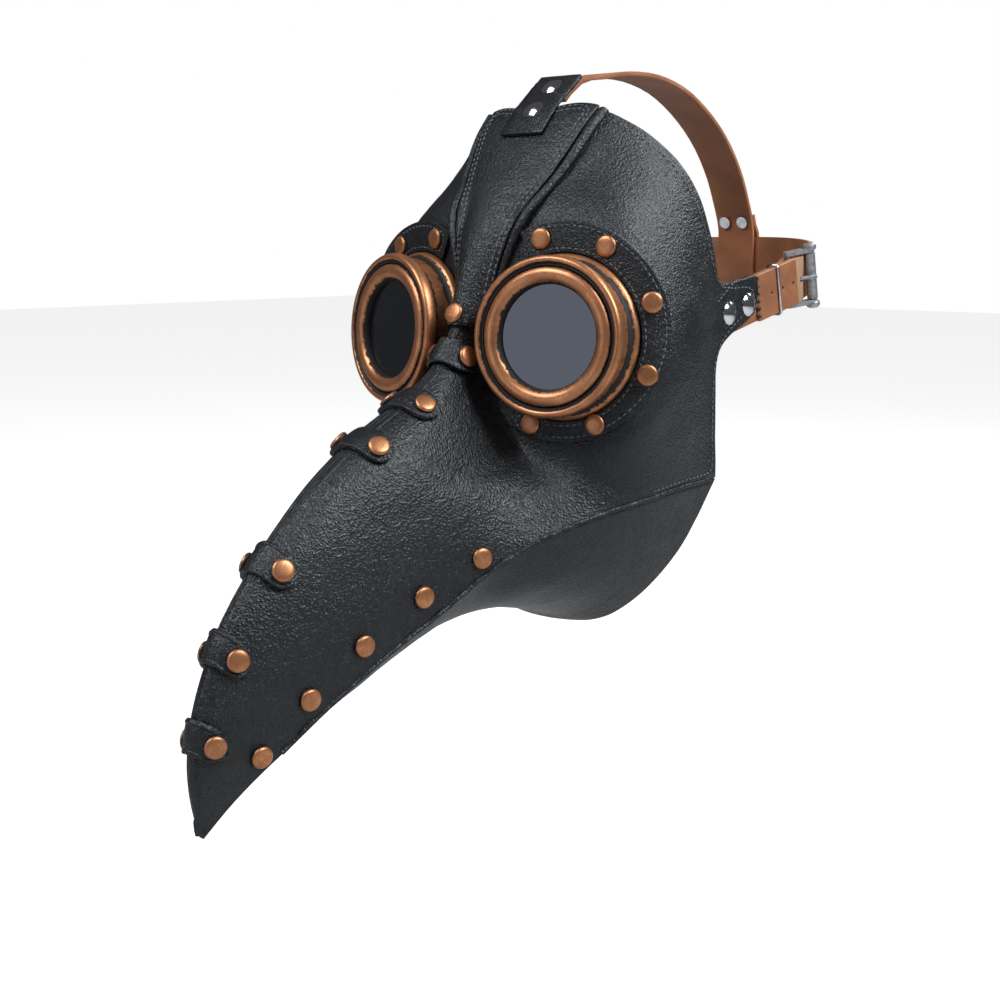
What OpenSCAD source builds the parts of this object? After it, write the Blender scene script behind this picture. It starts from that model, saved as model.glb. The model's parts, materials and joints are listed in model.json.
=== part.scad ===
// Plague doctor mask: a moulded leather shell with a drooping beak, two goggles and a head harness.
// Millimetres. X is the wearer's left, -Y is the way the mask looks, Z is up.
// The origin is the head seat: on the midline, level with the eyes, between the temple tabs.

/* [Leather] */
// Thickness of the shell leather
leather_t = 2.6; // [1.5:0.1:3]
// Thickness of the leather laid on top of the shell
overlay_t = 2; // [1.5:0.1:2.5]
// Width of a strap across the beak
beak_strap_w = 15; // [10:1:18]

/* [Goggles] */
// Distance between the middles of the two lenses
lens_spacing = 102; // [100:1:104]
// Outward turn of each goggle
goggle_splay = 14; // [12:1:16]
// Upward turn of each goggle
goggle_pitch = 4; // [2:1:6]
// Diameter of a lens
lens_d = 59; // [58:0.5:59]
// Height of the lens above the leather
lens_height = 17; // [16:0.5:18]
// Diameter of the goggle lip
lip_d = 76; // [74:1:78]
// Diameter of the flange laid round a goggle
flange_d = 106; // [104:1:108]
// Circle on which the flange studs stand
flange_stud_circle = 93; // [90:1:94]

/* [Studs] */
// Diameter of a copper stud
stud_d = 10; // [8:0.5:11]
// Height of a copper stud
stud_h = 2; // [1:0.1:3]
// Diameter of a chrome cap
cap_d = 11.5; // [10:0.5:12]

/* [Harness] */
// Width of the side and back straps
strap_w = 24; // [20:0.5:25]
// Width of the strap over the crown
crown_strap_w = 24; // [20:1:26]
// Thickness of the strap leather
strap_t = 2.2; // [1.8:0.1:2.4]
// Rise of the side strap towards the back
strap_rise = 12; // [8:1:15]
// Spacing of the punched holes
hole_pitch = 11; // [10:0.5:12]

/* [Hidden] */
$fn = 48;
BLACK = [0.06, 0.065, 0.07];
COPPER = [0.72, 0.38, 0.2];
TAN = [0.62, 0.34, 0.2];
CHROME = [0.8, 0.8, 0.82];
STEEL = [0.55, 0.56, 0.58];
lay_gap = 0.3;                 // air between two layers of leather
bent_gap = 0.9;                // air under a layer that bends both ways
fit_gap = 0.05;                // running fit of the small hinges
LEFT = 1;
RIGHT = -1;

// ---- The ribs of the shell ----
// A rib runs from the ridge (rail 0), down the left side to the crease (rail 5) and under to the
// bottom centre (rail 8). The beak's ribs come from three places: ridge, crease and bottom.
beak_side = [[0.32, 0.06], [0.57, 0.23], [0.78, 0.48], [0.92, 0.74]];
beak_under = [[0.72, 0.5], [0.36, 0.88]];
function beak_rib(ridge, crease, bottom) = concat(
    [[0, ridge.x, ridge.y]],
    [for (k = beak_side) [crease.x * k.x, mix(ridge.x, crease.y, k.y), mix(ridge.y, crease.z, k.y)]],
    [crease],
    [for (k = beak_under) [crease.x * k.x, mix(crease.y, bottom.x, k.y), mix(crease.z, bottom.y, k.y)]],
    [[0, bottom.x, bottom.y]]);
RIBS = [
    beak_rib([-263, -207], [2, -262, -208], [-261, -207]),
    beak_rib([-267, -178], [8, -246, -191], [-242, -193]),
    beak_rib([-262, -150], [14, -227, -176], [-221, -181]),
    beak_rib([-246, -116], [20, -208, -161], [-200, -169]),
    beak_rib([-214, -80], [27, -178, -142], [-168, -155]),
    beak_rib([-180, -53], [34, -145, -125], [-135, -143]),
    beak_rib([-145, -35], [41, -124, -111], [-104, -139]),
    [[0, -116, -18], [11, -111, -24], [23, -96, -42], [35, -95, -62], [45, -100, -81],
     [52, -106, -98], [42, -100, -121], [22, -90, -134], [0, -84, -139]],
    [[0, -100, 3], [9, -92, 0], [27, -76, -18], [44, -76, -46], [57, -79, -70],
     [65, -82, -88], [54, -76, -117], [29, -68, -137], [0, -64, -143]],
    [[0, -83, 45], [16, -78, 40], [50, -68, 12], [76, -58, -30], [80, -55, -58],
     [76, -57, -82], [62, -50, -117], [34, -46, -142], [0, -46, -148]],
    [[0, -57, 82], [30, -54, 78], [70, -48, 50], [91, -36, 6], [89, -28, -38],
     [80, -24, -78], [66, -26, -118], [37, -33, -146], [0, -36, -152]],
    [[0, -34, 108], [36, -28, 108], [70, -8, 80], [82, 4, 31], [82, 6, -27],
     [80, 11, -76], [68, -8, -117], [38, -22, -150], [0, -30, -155]],
    [[0, -10, 126], [38, 6, 124], [70, 24, 88], [82, 42, 42], [82, 42, -16],
     [80, 46, -70], [68, 20, -117], [38, 0, -156], [0, -10, -160]]
];
rim = 11;                      // the rib that is the rear rim
tab_reach = 0.98;              // how far the temple tab runs on towards the last rib
crease_rail = 5;
bottom_rail = 8;

function mix(a, b, f) = a + (b - a) * f;
function unit(v) = v / norm(v);
function smooth(a, b, x) = let (f = min(1, max(0, (x - a) / (b - a)))) f * f * (3 - 2 * f);
function mirror_x(p) = [-p.x, p.y, p.z];
function hermite(p0, p1, p2, p3, f) =
    0.5 * (2 * p1 + (p2 - p0) * f + (2 * p0 - 5 * p1 + 4 * p2 - p3) * f * f
    + (3 * p1 - p0 - 3 * p2 + p3) * f * f * f);
// A smooth curve through a list of points; before and after are the neighbours of its ends.
function through(pts, before, after, s) =
    let (n = len(pts) - 1, i = max(0, min(floor(s), n - 1)))
    hermite(i == 0 ? before : pts[i - 1], pts[i], pts[i + 1], i == n - 1 ? after : pts[i + 2], s - i);
function open_curve(pts, s) =
    let (n = len(pts) - 1)
    through(pts, 2 * pts[0] - pts[1], 2 * pts[n] - pts[n - 1], s);
function rib_at(t) = [for (j = [0:bottom_rail]) open_curve([for (r = RIBS) r[j]], t)];
function on_rib(rib, u) = u <= crease_rail
    ? through([for (j = [0:crease_rail]) rib[j]], mirror_x(rib[1]), 2 * rib[5] - rib[4], u)
    : through([for (j = [crease_rail:bottom_rail]) rib[j]], 2 * rib[5] - rib[6],
        mirror_x(rib[7]), u - crease_rail);

// ---- The goggles' planes ----
goggle_axis = [sin(goggle_splay) * cos(goggle_pitch), -cos(goggle_splay) * cos(goggle_pitch), sin(goggle_pitch)];
goggle_side = [cos(goggle_splay), sin(goggle_splay), 0];
goggle_up = cross(goggle_side, -goggle_axis);
lens_middle = [lens_spacing / 2, -90, 0];
goggle_base = lens_middle - goggle_axis * lens_height;
// The leather is pressed to the flange round each goggle: flat, and rolled back at the temple.
// It is left alone on the nose and down the side of the head.
flat_r = 57;
free_r = 76;
roll_start = 36;
roll_r = 18;
function flange_height(a) =
    let (x = min(max(0, a - roll_start), 0.92 * roll_r)) sqrt(roll_r * roll_r - x * x) - roll_r;
function flatten(p) =
    let (d = p - goggle_base, a = d * goggle_side, b = d * goggle_up,
         rise = d * goggle_axis - flange_height(a),
         reach = norm([a, b]) + 1.3 * max(0, -26 - a),
         hold = (1 - smooth(flat_r, free_r, reach)) * (1 - smooth(9, 26, -rise)))
    p - goggle_axis * rise * hold;
function skin(t, u) = flatten(on_rib(rib_at(t), u));
step = 0.04;
function outward(t, u) =
    let (along = skin(t + step, u) - skin(max(0, t - step), u),
         lo = u <= crease_rail && u > crease_rail - step ? u - step : max(u, 0),
         hi = min(lo + step, u <= crease_rail ? max(crease_rail, lo) : bottom_rail),
         start = hi - lo < step / 2 ? hi - step : lo,
         around = skin(t, start + step) - skin(t, start))
    unit(cross(around, along));
// The mitre at the crease, where the side panel meets the underside.
function mitre(t) =
    let (a = outward(t, crease_rail), b = outward(t, crease_rail + 0.001), m = unit(a + b))
    m / max(0.5, m * a);
function wall_at(t) = 0.35 + (leather_t - 0.35) * smooth(0, 1.6, t);

// ---- Sheets of leather from a grid of outer and inner points ----
function flip(faces) = [for (f = faces) [f[2], f[1], f[0]]];
function grid_faces(rows, cols, base) = [
    for (i = [0:rows - 2], j = [0:cols - 2])
        let (k = base + i * cols + j)
        each [[k, k + 1, k + cols + 1], [k, k + cols + 1, k + cols]]];
function edge_faces(rows, cols) =
    let (n = rows * cols)
    concat(
        [for (j = [0:cols - 2]) each [[j, n + j, j + 1], [j + 1, n + j, n + j + 1]]],
        [for (j = [0:cols - 2]) let (k = (rows - 1) * cols + j)
            each [[k, k + 1, n + k], [k + 1, n + k + 1, n + k]]],
        [for (i = [0:rows - 2]) let (k = i * cols)
            each [[k, k + cols, n + k], [k + cols, n + k + cols, n + k]]],
        [for (i = [0:rows - 2]) let (k = i * cols + cols - 1)
            each [[k, n + k, k + cols], [k + cols, n + k, n + k + cols]]]);
module sheet(outer, inner) {
    rows = len(outer);
    cols = len(outer[0]);
    points = concat([for (r = outer) each r], [for (r = inner) each r]);
    faces = concat(flip(grid_faces(rows, cols, 0)), grid_faces(rows, cols, rows * cols),
        flip(edge_faces(rows, cols)));
    polyhedron(points = points, faces = faces, convexity = 8);
}
module left_and_right(side) {
    if (side > 0) children();
    else mirror([1, 0, 0]) children();
}

// ---- Panels ----
side_lines = [0.012, 0.25, 0.5, 0.75, 1, 1.3, 1.6, 1.9, 2.2, 2.5, 2.75, 2.95, 3.1, 3.17, 3.22, 3.26,
    3.36, 3.46, 3.56, 3.61, 3.65, 3.71, 3.8, 4, 4.3, 4.65, 5];
tab_lines = [[0, 0], [3.1, 0], [3.17, 0.07], [3.22, 0.3], [3.26, 0.95], [3.36, 1], [3.46, 1], [3.56, 1],
    [3.61, 0.94], [3.65, 0.3], [3.71, 0.07], [3.8, 0], [5, 0]];
function tab_at(u) = lookup(u, tab_lines) * tab_reach;
fixed_ribs = concat([0, 0.12, 0.3, 0.6], [for (t = [1:0.5:7]) t], [for (t = [7.3:0.3:10.6]) t]);
tail_steps = 4;
function rib_stops(u) = concat(fixed_ribs,
    [for (k = [1:tail_steps]) mix(10.6, rim + tab_at(u), k / tail_steps)]);
// The inner face turns the crease gradually, so that its lines never cross.
crease_fade = [1.4, 2.4];
function inward(t, u) =
    let (away = u < crease_rail ? (crease_rail - u) / crease_fade.x : (u - crease_rail) / crease_fade.y,
         f = min(1, away), v = u == crease_rail ? u + 0.001 : u)
    mix(mitre(t), outward(t, v), f);
// The hollow ends short of the beak's tip, which is solid leather.
function hollow(t) = t < 1 ? mix(0.45, 1, t) : t;
function inner_skin(t, u) = skin(hollow(t), u) - inward(hollow(t), u) * wall_at(hollow(t));
function side_inner(t, u) = let (p = inner_skin(t, u)) [max(0.15, p.x), p.y, p.z];
module goggle_frame() {
    multmatrix([
        [goggle_side.x, goggle_up.x, goggle_axis.x, goggle_base.x],
        [goggle_side.y, goggle_up.y, goggle_axis.y, goggle_base.y],
        [goggle_side.z, goggle_up.z, goggle_axis.z, goggle_base.z],
        [0, 0, 0, 1]]) children();
}
cup_seat_r = 34.4;
cup_clear_r = 40;
module goggle_clearance() {
    goggle_frame() {
        translate([0, 0, -12]) cylinder(r = cup_seat_r, h = 24, $fn = 64);
        translate([0, 0, 0.3]) cylinder(r = cup_clear_r, h = 40, $fn = 64);
    }
}
module side_panel(side) {
    stops = len(rib_stops(0));
    left_and_right(side) color(BLACK) difference() {
        sheet(
            [for (i = [0:stops - 1]) [for (u = side_lines) skin(rib_stops(u)[i], u)]],
            [for (i = [0:stops - 1]) [for (u = side_lines) side_inner(rib_stops(u)[i], u)]]);
        goggle_clearance();
        temple_holes();
        crown_holes();
    }
}
under_lines = [5, 5.3, 5.6, 6, 6.4, 6.8, 7.2, 7.6, 8];
function under_point(t, u, inner) = inner ? inner_skin(t, u) : skin(t, u);
function under_row(t, inner) = concat(
    [for (u = under_lines) under_point(t, u, inner)],
    [for (k = [len(under_lines) - 2:-1:0]) mirror_x(under_point(t, under_lines[k], inner))]);
module underside_panel() {
    stops = rib_stops(0);
    color(BLACK) sheet([for (t = stops) under_row(t, false)], [for (t = stops) under_row(t, true)]);
}
// An overlay is a sheet of leather lying on the shell, from one skin line to another.
function lifted(t, u, h) =
    let (s = abs(u), p = skin(t, s) + outward(t, s) * h)
    u < 0 ? mirror_x(p) : p;
panel_foot = 8.02;
function panel_edge(t) = mix(0.95, 0.93, smooth(panel_foot, rim, t));
module forehead_panel() {
    stops = [for (k = [0:12]) mix(panel_foot, rim - 0.02, k / 12)];
    across = [for (k = [-7:7]) k / 7];
    color(BLACK) difference() {
        sheet(
            [for (t = stops) [for (v = across) lifted(t, v * panel_edge(t), bent_gap + overlay_t)]],
            [for (t = stops) [for (v = across) lifted(t, v * panel_edge(t), bent_gap)]]);
        for (side = [1, -1]) left_and_right(side) goggle_clearance();
        crown_holes();
    }
}
trim_w = 0.12;
module forehead_trim(side) {
    stops = [for (k = [0:11]) mix(panel_foot + 0.3, rim - 0.05, k / 11)];
    across = [for (k = [0:3]) k / 3];
    left_and_right(side) color(BLACK) difference() {
        sheet(
            [for (t = stops) [for (v = across)
                lifted(t, panel_edge(t) + 0.02 + v * trim_w, bent_gap + 0.8 + 2.4 * sin(20 + 140 * v))]],
            [for (t = stops) [for (v = across) lifted(t, panel_edge(t) + 0.02 + v * trim_w, bent_gap)]]);
        goggle_clearance();
    }
}
// A strap over the ridge with round ends: it lies along rib t and reaches down to rail end_u.
module ridge_strap(t, end_u, w, gap = lay_gap) {
    cols = [for (k = [-10:10]) sin(k * 9)];
    rows = [for (k = [-3:3]) k / 3];
    round_part = 0.4;
    half_t = w / 2 / norm(skin(t + 0.5, 0) - skin(t - 0.5, 0));
    function half_at(v) = let (e = max(0, abs(v) - 1 + round_part) / round_part)
        half_t * sqrt(max(0.04, 1 - e * e));
    function row(s, h) = [for (v = cols) lifted(t + s * half_at(v), v * end_u, gap + h)];
    color(BLACK) sheet([for (s = rows) row(s, overlay_t * (1 - 0.2 * s * s))], [for (s = rows) row(s, 0)]);
}
// Each beak strap: its rib, its stud's rail and the rail that it ends at.
beak_straps = [[6.36, 0.82, 1.25], [5.42, 0.98, 1.45], [3.69, 1.26, 1.85], [2.74, 1.53, 2.2], [1.61, 1.94, 2.8]];
module beak_strap(k) {
    ridge_strap(beak_straps[k - 1][0], beak_straps[k - 1][2], beak_strap_w);
}
bridge = [7.5, 0.77, 1.2];
module bridge_strap() {
    color(BLACK) difference() {
        ridge_strap(bridge[0], bridge[2], beak_strap_w, 2 * bent_gap);
        for (side = [1, -1]) left_and_right(side) goggle_clearance();
    }
}
// A flange is open towards the nose, sits a little high, and follows the roll at the temple.
flange_inner_r = 40.3;
flange_turn = [-122, 117];
flange_lift = 2.5;
function rolled(p, h) =
    let (turn = max(0, p.x - roll_start) / roll_r * 180 / PI)
    [min(p.x, roll_start) + (roll_r + h) * sin(turn), p.y, (roll_r + h) * cos(turn) - roll_r];
function ring_point(r, angle, lift) = [r * cos(angle), r * sin(angle) + lift];
module eye_flange(side) {
    turns = [for (k = [0:32]) mix(flange_turn.x, flange_turn.y, k / 32)];
    function across(angle, h) =
        [for (k = [0:3]) rolled(mix(ring_point(flange_inner_r, angle, 0),
            ring_point(flange_d / 2, angle, flange_lift), k / 3), h)];
    left_and_right(side) color(BLACK) goggle_frame()
        sheet([for (a = turns) across(a, lay_gap + overlay_t)], [for (a = turns) across(a, lay_gap)]);
}

// ---- Goggles ----
cup_wall_r = 36;
bezel_r = 33;
module revolve(outline, facets = 96) {
    rotate_extrude($fn = facets) polygon(outline);
}
module goggle_cup(side) {
    lip_r = lip_d / 2;
    left_and_right(side) color(COPPER) goggle_frame() revolve([
        [31, -8], [34, -8], [34, 0.3], [39.2, 0.3], [39.6, 2], [39.2, 4], [37.6, 5.2], [cup_wall_r, 5.8],
        [cup_wall_r, 14], [lip_r - 0.6, 15.6], [lip_r, 17.5], [lip_r, 19.5], [lip_r - 0.8, 21],
        [lip_r - 2, 21.6], [lip_r - 3.2, 21], [33.4, 20], [33.4, 15], [lens_d / 2 + 0.2, 15],
        [lens_d / 2 + 0.2, 14.8], [28, 14.8], [28, 12], [31, 11]]);
}
module bezel_ring(side) {
    left_and_right(side) color(COPPER) goggle_frame() revolve([
        [25, 18.5], [25.6, 20], [27, 21.6], [29, 22.2], [31, 21.6], [32.6, 20.2], [bezel_r, 18.6],
        [bezel_r, 15.2], [lens_d / 2 + 0.2, 15.2], [lens_d / 2 + 0.2, 17.8], [25.4, 17.8]]);
}
module lens_gasket(side) {
    left_and_right(side) color(BLACK) goggle_frame() translate([0, 0, lens_height + 0.05]) difference() {
        cylinder(r = lens_d / 2, h = 0.7, $fn = 96);
        translate([0, 0, -1]) cylinder(r = 24.6, h = 3, $fn = 96);
    }
}
module lens(side) {
    left_and_right(side) color([0.1, 0.12, 0.18]) goggle_frame()
        translate([0, 0, lens_height - 2.1]) cylinder(d = lens_d, h = 2.1, $fn = 96);
}
module clamp_ring(side) {
    left_and_right(side) color(STEEL) goggle_frame() translate([0, 0, -7.6]) difference() {
        cylinder(r = 36, h = 3.4, $fn = 96);
        translate([0, 0, -1]) cylinder(r = 34 + fit_gap, h = 8, $fn = 96);
    }
}

// ---- Studs ----
module dome(d, h) {
    ball_r = (d * d / 4 + h * h) / (2 * h);
    intersection() {
        translate([0, 0, h - ball_r]) sphere(r = ball_r, $fn = 64);
        cylinder(d = d, h = h, $fn = 48);
    }
}
module at_skin(t, u, h) {
    n = outward(t, u);
    side = unit(cross([0, 0, 1], n));
    up = cross(n, side);
    p = skin(t, u) + n * h;
    multmatrix([[side.x, up.x, n.x, p.x], [side.y, up.y, n.y, p.y], [side.z, up.z, n.z, p.z], [0, 0, 0, 1]])
        children();
}
module flange_studs(side) {
    left_and_right(side) color(COPPER) goggle_frame() for (k = [0:5]) {
        place = ring_point(flange_stud_circle / 2, 106 - 43 * k, flange_lift - 0.6);
        turn = max(0, place.x - roll_start) / roll_r * 180 / PI;
        translate(rolled(place, lay_gap + overlay_t + (turn > 0 ? 0.7 : 0.1)))
            rotate([0, turn, 0]) dome(stud_d, stud_h);
    }
}
module beak_strap_studs() {
    color(COPPER) for (s = concat([bridge], beak_straps), side = [LEFT, RIGHT])
        left_and_right(side)
            at_skin(s[0], s[1], (s == bridge ? 2 * bent_gap : lay_gap) + overlay_t + 0.35) dome(stud_d, stud_h);
}
// Studs along the lower edge of the beak, in ribs and rails.
edge_studs = [[1.8, 4.25], [3, 4.3], [3.9, 4.35], [4.85, 4.37], [6.05, 4.54]];
module beak_edge_studs(side) {
    left_and_right(side) color(COPPER)
        for (s = edge_studs) at_skin(s.x, s.y, 0.6) dome(stud_d, stud_h);
}
module brow_stud() {
    color(COPPER) at_skin(8.16, 0.001, bent_gap + overlay_t + 0.3) dome(stud_d, stud_h);
}

// ---- Crown tab, crown strap and back strap ----
function swept(points, hint, w, t) =
    let (n = len(points) - 1)
    [for (i = [0:n])
        let (along = unit(points[min(i + 1, n)] - points[max(i - 1, 0)]),
             across = unit(hint - along * (hint * along)),
             out = cross(across, along))
        [for (c = [[-1, -1], [1, -1], [1, 1], [-1, 1]])
            points[i] + across * c.x * w / 2 + out * c.y * t / 2]];
module strap(points, hint, w, t) {
    rings = swept(points, hint, w, t);
    n = len(rings);
    sides = [for (i = [0:n - 2], j = [0:3])
        let (a = i * 4 + j, b = i * 4 + (j + 1) % 4)
        each [[a, b, b + 4], [a, b + 4, a + 4]]];
    ends = [[2, 1, 0], [3, 2, 0], [4 * n - 4, 4 * n - 3, 4 * n - 2], [4 * n - 4, 4 * n - 2, 4 * n - 1]];
    polyhedron(points = [for (r = rings) each r], faces = concat(sides, ends), convexity = 6);
}
// The crown line lies a few millimetres above the head, on the midline.
crown_line = [[0, -14, 121], [0, 4, 127.5], [0, 26, 131], [0, 52, 131], [0, 78, 125.5], [0, 102, 114],
    [0, 122, 99], [0, 137, 81], [0, 146.5, 63]];
function along_line(line, from, to, count) =
    [for (k = [0:count]) open_curve(line, mix(from, to, k / count))];
tab_lift = bent_gap + lay_gap + 1.5 * overlay_t + 0.2;
tab_points = [lifted(10.4, 0, tab_lift), lifted(10.7, 0, tab_lift), lifted(rim, 0, tab_lift), [0, -27.5, 119],
    [0, -18, 126.5]];
rivet_shank_r = 2;
// Each crown rivet: its place along the tab and the depth of its inner cap.
crown_rivet_places = [[1.6, 7.2], [3.2, 4.1]];
module crown_frame(place) {
    p = open_curve(tab_points, place);
    along = unit(open_curve(tab_points, place + 0.1) - open_curve(tab_points, place - 0.1));
    out = cross([1, 0, 0], along);
    multmatrix([[1, 0, 0, p.x], [0, along.y, out.y, p.y], [0, along.z, out.z, p.z], [0, 0, 0, 1]]) children();
}
module crown_holes() {
    for (r = crown_rivet_places) crown_frame(r[0])
        translate([0, 0, -10]) cylinder(r = rivet_shank_r + 0.1, h = 20, $fn = 32);
}
module crown_tab() {
    color(BLACK) difference() {
        strap(along_line(tab_points, 0, 4, 12), [1, 0, 0], crown_strap_w + 3, overlay_t);
        crown_holes();
    }
}
module crown_rivets() {
    color(CHROME) for (r = crown_rivet_places) crown_frame(r[0]) {
        translate([0, 0, overlay_t / 2 + 0.1]) dome(cap_d, stud_h);
        translate([0, 0, -r[1]]) cylinder(r = rivet_shank_r, h = r[1] + overlay_t / 2 + 0.3, $fn = 32);
        translate([0, 0, -r[1] - 0.8]) cylinder(d = cap_d - 3, h = 0.9, $fn = 48);
    }
}
// The crown strap runs down the back of the head, round the back strap and up onto itself.
crown_start = [[0, -30, 113.6], [0, -26, 117.3], [0, -17, 123.4], [0, -8, 126.2]];
loop_line = [[0, 149.6, 56], [0, 151.2, 50], [0, 151.6, 44], [0, 151.6, 24], [0, 152.4, 20.2], [0, 155, 18.6],
    [0, 157.6, 20.2], [0, 158.4, 24], [0, 158.4, 42], [0, 156.6, 48.5], [0, 153.3, 53.5], [0, 151.4, 59]];
module loop_frame() {
    translate([0, 151.1, 55.5]) rotate([-73, 0, 0]) children();
}
loop_shank_r = 1.5;
module loop_holes() {
    loop_frame() for (x = [-6, 6]) translate([x, 0, -8]) cylinder(r = loop_shank_r + 0.1, h = 16, $fn = 32);
}
module loop_rivets() {
    color(CHROME) loop_frame() for (x = [-6, 6]) translate([x, 0, 0]) {
        translate([0, 0, 3.1]) dome(8, 1.5);
        translate([0, 0, -3.2]) cylinder(r = loop_shank_r, h = 6.3, $fn = 32);
        translate([0, 0, -3.9]) cylinder(d = 7, h = 0.8, $fn = 48);
    }
}
module crown_strap() {
    color(TAN) difference() {
        strap(concat(crown_start, along_line(crown_line, 1, 8, 22), loop_line), [1, 0, 0], crown_strap_w,
            strap_t);
        crown_holes();
        loop_holes();
    }
}

// ---- Side strap, buckle and back strap ----
// The temple frame lies along the side strap: Y runs back along it, Z across it, X outwards.
temple_start = [0, 16, 8];
module temple_frame(side) {
    left_and_right(side) translate(temple_start) rotate([strap_rise, 0, 0]) children();
}
function temple_point(x, y) =
    [x, temple_start.y + y * cos(strap_rise), temple_start.z + y * sin(strap_rise)];
side_strap_x = 77.6;           // middle of the side strap's leather
hinge_y = 72.5;                // buckle hinge bar, behind the first temple rivet
bar_r = 1.5;
fold_r = bar_r + 0.3 + strap_t / 2;
hinge_x = side_strap_x - fold_r;
tail_x = side_strap_x + strap_t + 0.4;
roller_y = 84;
roller_r = 2.9;
roller_x = tail_x + 1.6;
temple_rivet_spacing = 18;
module temple_holes() {
    temple_frame(LEFT) for (y = [0, temple_rivet_spacing])
        translate([70, y, 0]) rotate([0, 90, 0]) cylinder(r = rivet_shank_r + 0.1, h = 20, $fn = 32);
}
module temple_rivets(side) {
    color(CHROME) temple_frame(side) for (y = [0, temple_rivet_spacing]) {
        translate([82.85, y, 0]) rotate([0, 90, 0]) dome(cap_d, stud_h);
        translate([side_strap_x - strap_t / 2 - 1.1, y, 0]) rotate([0, 90, 0]) {
            cylinder(r = rivet_shank_r, h = 7.7, $fn = 32);
            cylinder(d = cap_d - 2, h = 1, $fn = 48);
        }
    }
}
// The strap's flat run, the fold round the hinge bar and the end that comes back inside.
module side_strap_run() {
    inner_x = hinge_x - fold_r;
    linear_extrude(strap_w) translate([side_strap_x - strap_t / 2, -12]) square([strap_t, hinge_y + 12]);
    linear_extrude(strap_w) translate([hinge_x, hinge_y]) intersection() {
        difference() {
            circle(r = fold_r + strap_t / 2);
            circle(r = fold_r - strap_t / 2);
        }
        translate([-10, -0.4]) square(20);
    }
    linear_extrude(strap_w) polygon([
        [inner_x + strap_t / 2 - 0.05, hinge_y], [inner_x - strap_t / 2, hinge_y],
        [side_strap_x - 1.5 * strap_t - 0.1, 64], [side_strap_x - 1.5 * strap_t - 0.1, 60],
        [side_strap_x - strap_t / 2 - 0.1, 60], [side_strap_x - strap_t / 2 - 0.1, 65]]);
}
module side_strap(side) {
    temple_frame(side) color(TAN) difference() {
        translate([0, 0, -strap_w / 2]) side_strap_run();
        translate([60, 66, -2.2]) cube([30, 14, 4.4]);
        for (y = [0, temple_rivet_spacing]) translate([70, y, 0]) rotate([0, 90, 0])
            cylinder(r = rivet_shank_r + 0.1, h = 20, $fn = 32);
    }
}
frame_half = strap_w / 2 + 2.2;
module buckle_frame(side) {
    color(STEEL) temple_frame(side) {
        for (bar = [[hinge_x, hinge_y], [roller_x, roller_y]])
            translate([bar.x, bar.y, -frame_half]) cylinder(r = bar_r, h = 2 * frame_half, $fn = 48);
        for (end = [-1, 1]) hull() {
            translate([hinge_x, hinge_y, end * frame_half - 1.2]) cylinder(r = 2, h = 2.4, $fn = 24);
            translate([roller_x, roller_y, end * frame_half - 1.2]) cylinder(r = 2.6, h = 2.4, $fn = 24);
        }
    }
}
module buckle_roller(side) {
    color(STEEL) temple_frame(side) translate([roller_x, roller_y, -strap_w / 2 - 0.4]) difference() {
        cylinder(r = roller_r, h = strap_w + 0.8, $fn = 64);
        translate([0, 0, -1]) cylinder(r = bar_r + fit_gap, h = strap_w + 3, $fn = 64);
    }
}
prong_r = 1;
module buckle_prong(side) {
    run = [roller_x - hinge_x, roller_y - hinge_y];
    clearance = roller_r + prong_r + 0.3;
    lean = atan2(run.x, run.y) + asin(clearance / norm(run));
    reach = norm(run) * cos(asin(clearance / norm(run))) + 2.5;
    color(STEEL) temple_frame(side) translate([hinge_x, hinge_y, 0]) difference() {
        union() {
            translate([0, 0, -1.2]) cylinder(r = 2.7, h = 2.4, $fn = 48);
            rotate([0, 0, -lean]) rotate([-90, 0, 0]) cylinder(r = prong_r, h = reach, $fn = 32);
        }
        translate([0, 0, -3]) cylinder(r = bar_r + fit_gap, h = 6, $fn = 48);
    }
}
keeper_y = 50;
wire_r = 0.8;
module strap_keeper(side) {
    near_x = side_strap_x - strap_t / 2 - 0.3 - wire_r;
    far_x = tail_x + strap_t / 2 + 0.3 + wire_r;
    half = strap_w / 2 + 0.4 + wire_r;
    corners = [[near_x, -half], [far_x, -half], [far_x, half], [near_x, half]];
    color(CHROME) temple_frame(side) translate([0, keeper_y, 0]) {
        for (c = corners) translate([c.x, 0, c.y]) sphere(r = wire_r, $fn = 24);
        for (x = [near_x, far_x]) translate([x, 0, -half]) cylinder(r = wire_r, h = 2 * half, $fn = 24);
        for (z = [-half, half]) translate([near_x, 0, z]) rotate([0, 90, 0])
            cylinder(r = wire_r, h = far_x - near_x, $fn = 24);
    }
}
// The back strap's left half: its tail lies over the side strap, then it dips under the roller.
tail_start = 30.5;
prong_hole_y = 77;
strap_half = concat(
    [for (y = [tail_start, 45, 60, 70]) temple_point(tail_x, y)],
    [temple_point(tail_x, 74.5), temple_point(tail_x - 1.6, 79), temple_point(roller_x - roller_r - 2.1, 84),
     temple_point(side_strap_x - 1.5, 89), temple_point(74, 96)],
    [[70, 119, 29.5], [62, 132, 31], [51, 142.5, 32.5], [37, 149.5, 33.5], [20, 153.5, 34]]);
back_middle = [0, 155, 34];
module back_strap() {
    line = concat(strap_half, [back_middle], [for (k = [len(strap_half) - 1:-1:0]) mirror_x(strap_half[k])]);
    pieces = len(line) - 1;
    color(TAN) difference() {
        strap(along_line(line, 0, pieces, 2 * pieces), [0, 0, 1], strap_w, strap_t);
        for (side = [LEFT, RIGHT]) temple_frame(side) {
            for (k = [1:3]) translate([70, prong_hole_y - k * hole_pitch, 0]) rotate([0, 90, 0])
                cylinder(d = 2.4, h = 20, $fn = 24);
            translate([70, prong_hole_y - 4, -1.5]) cube([20, 8, 3]);
        }
    }
}
side_panel(LEFT);  // side_panel_left
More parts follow.
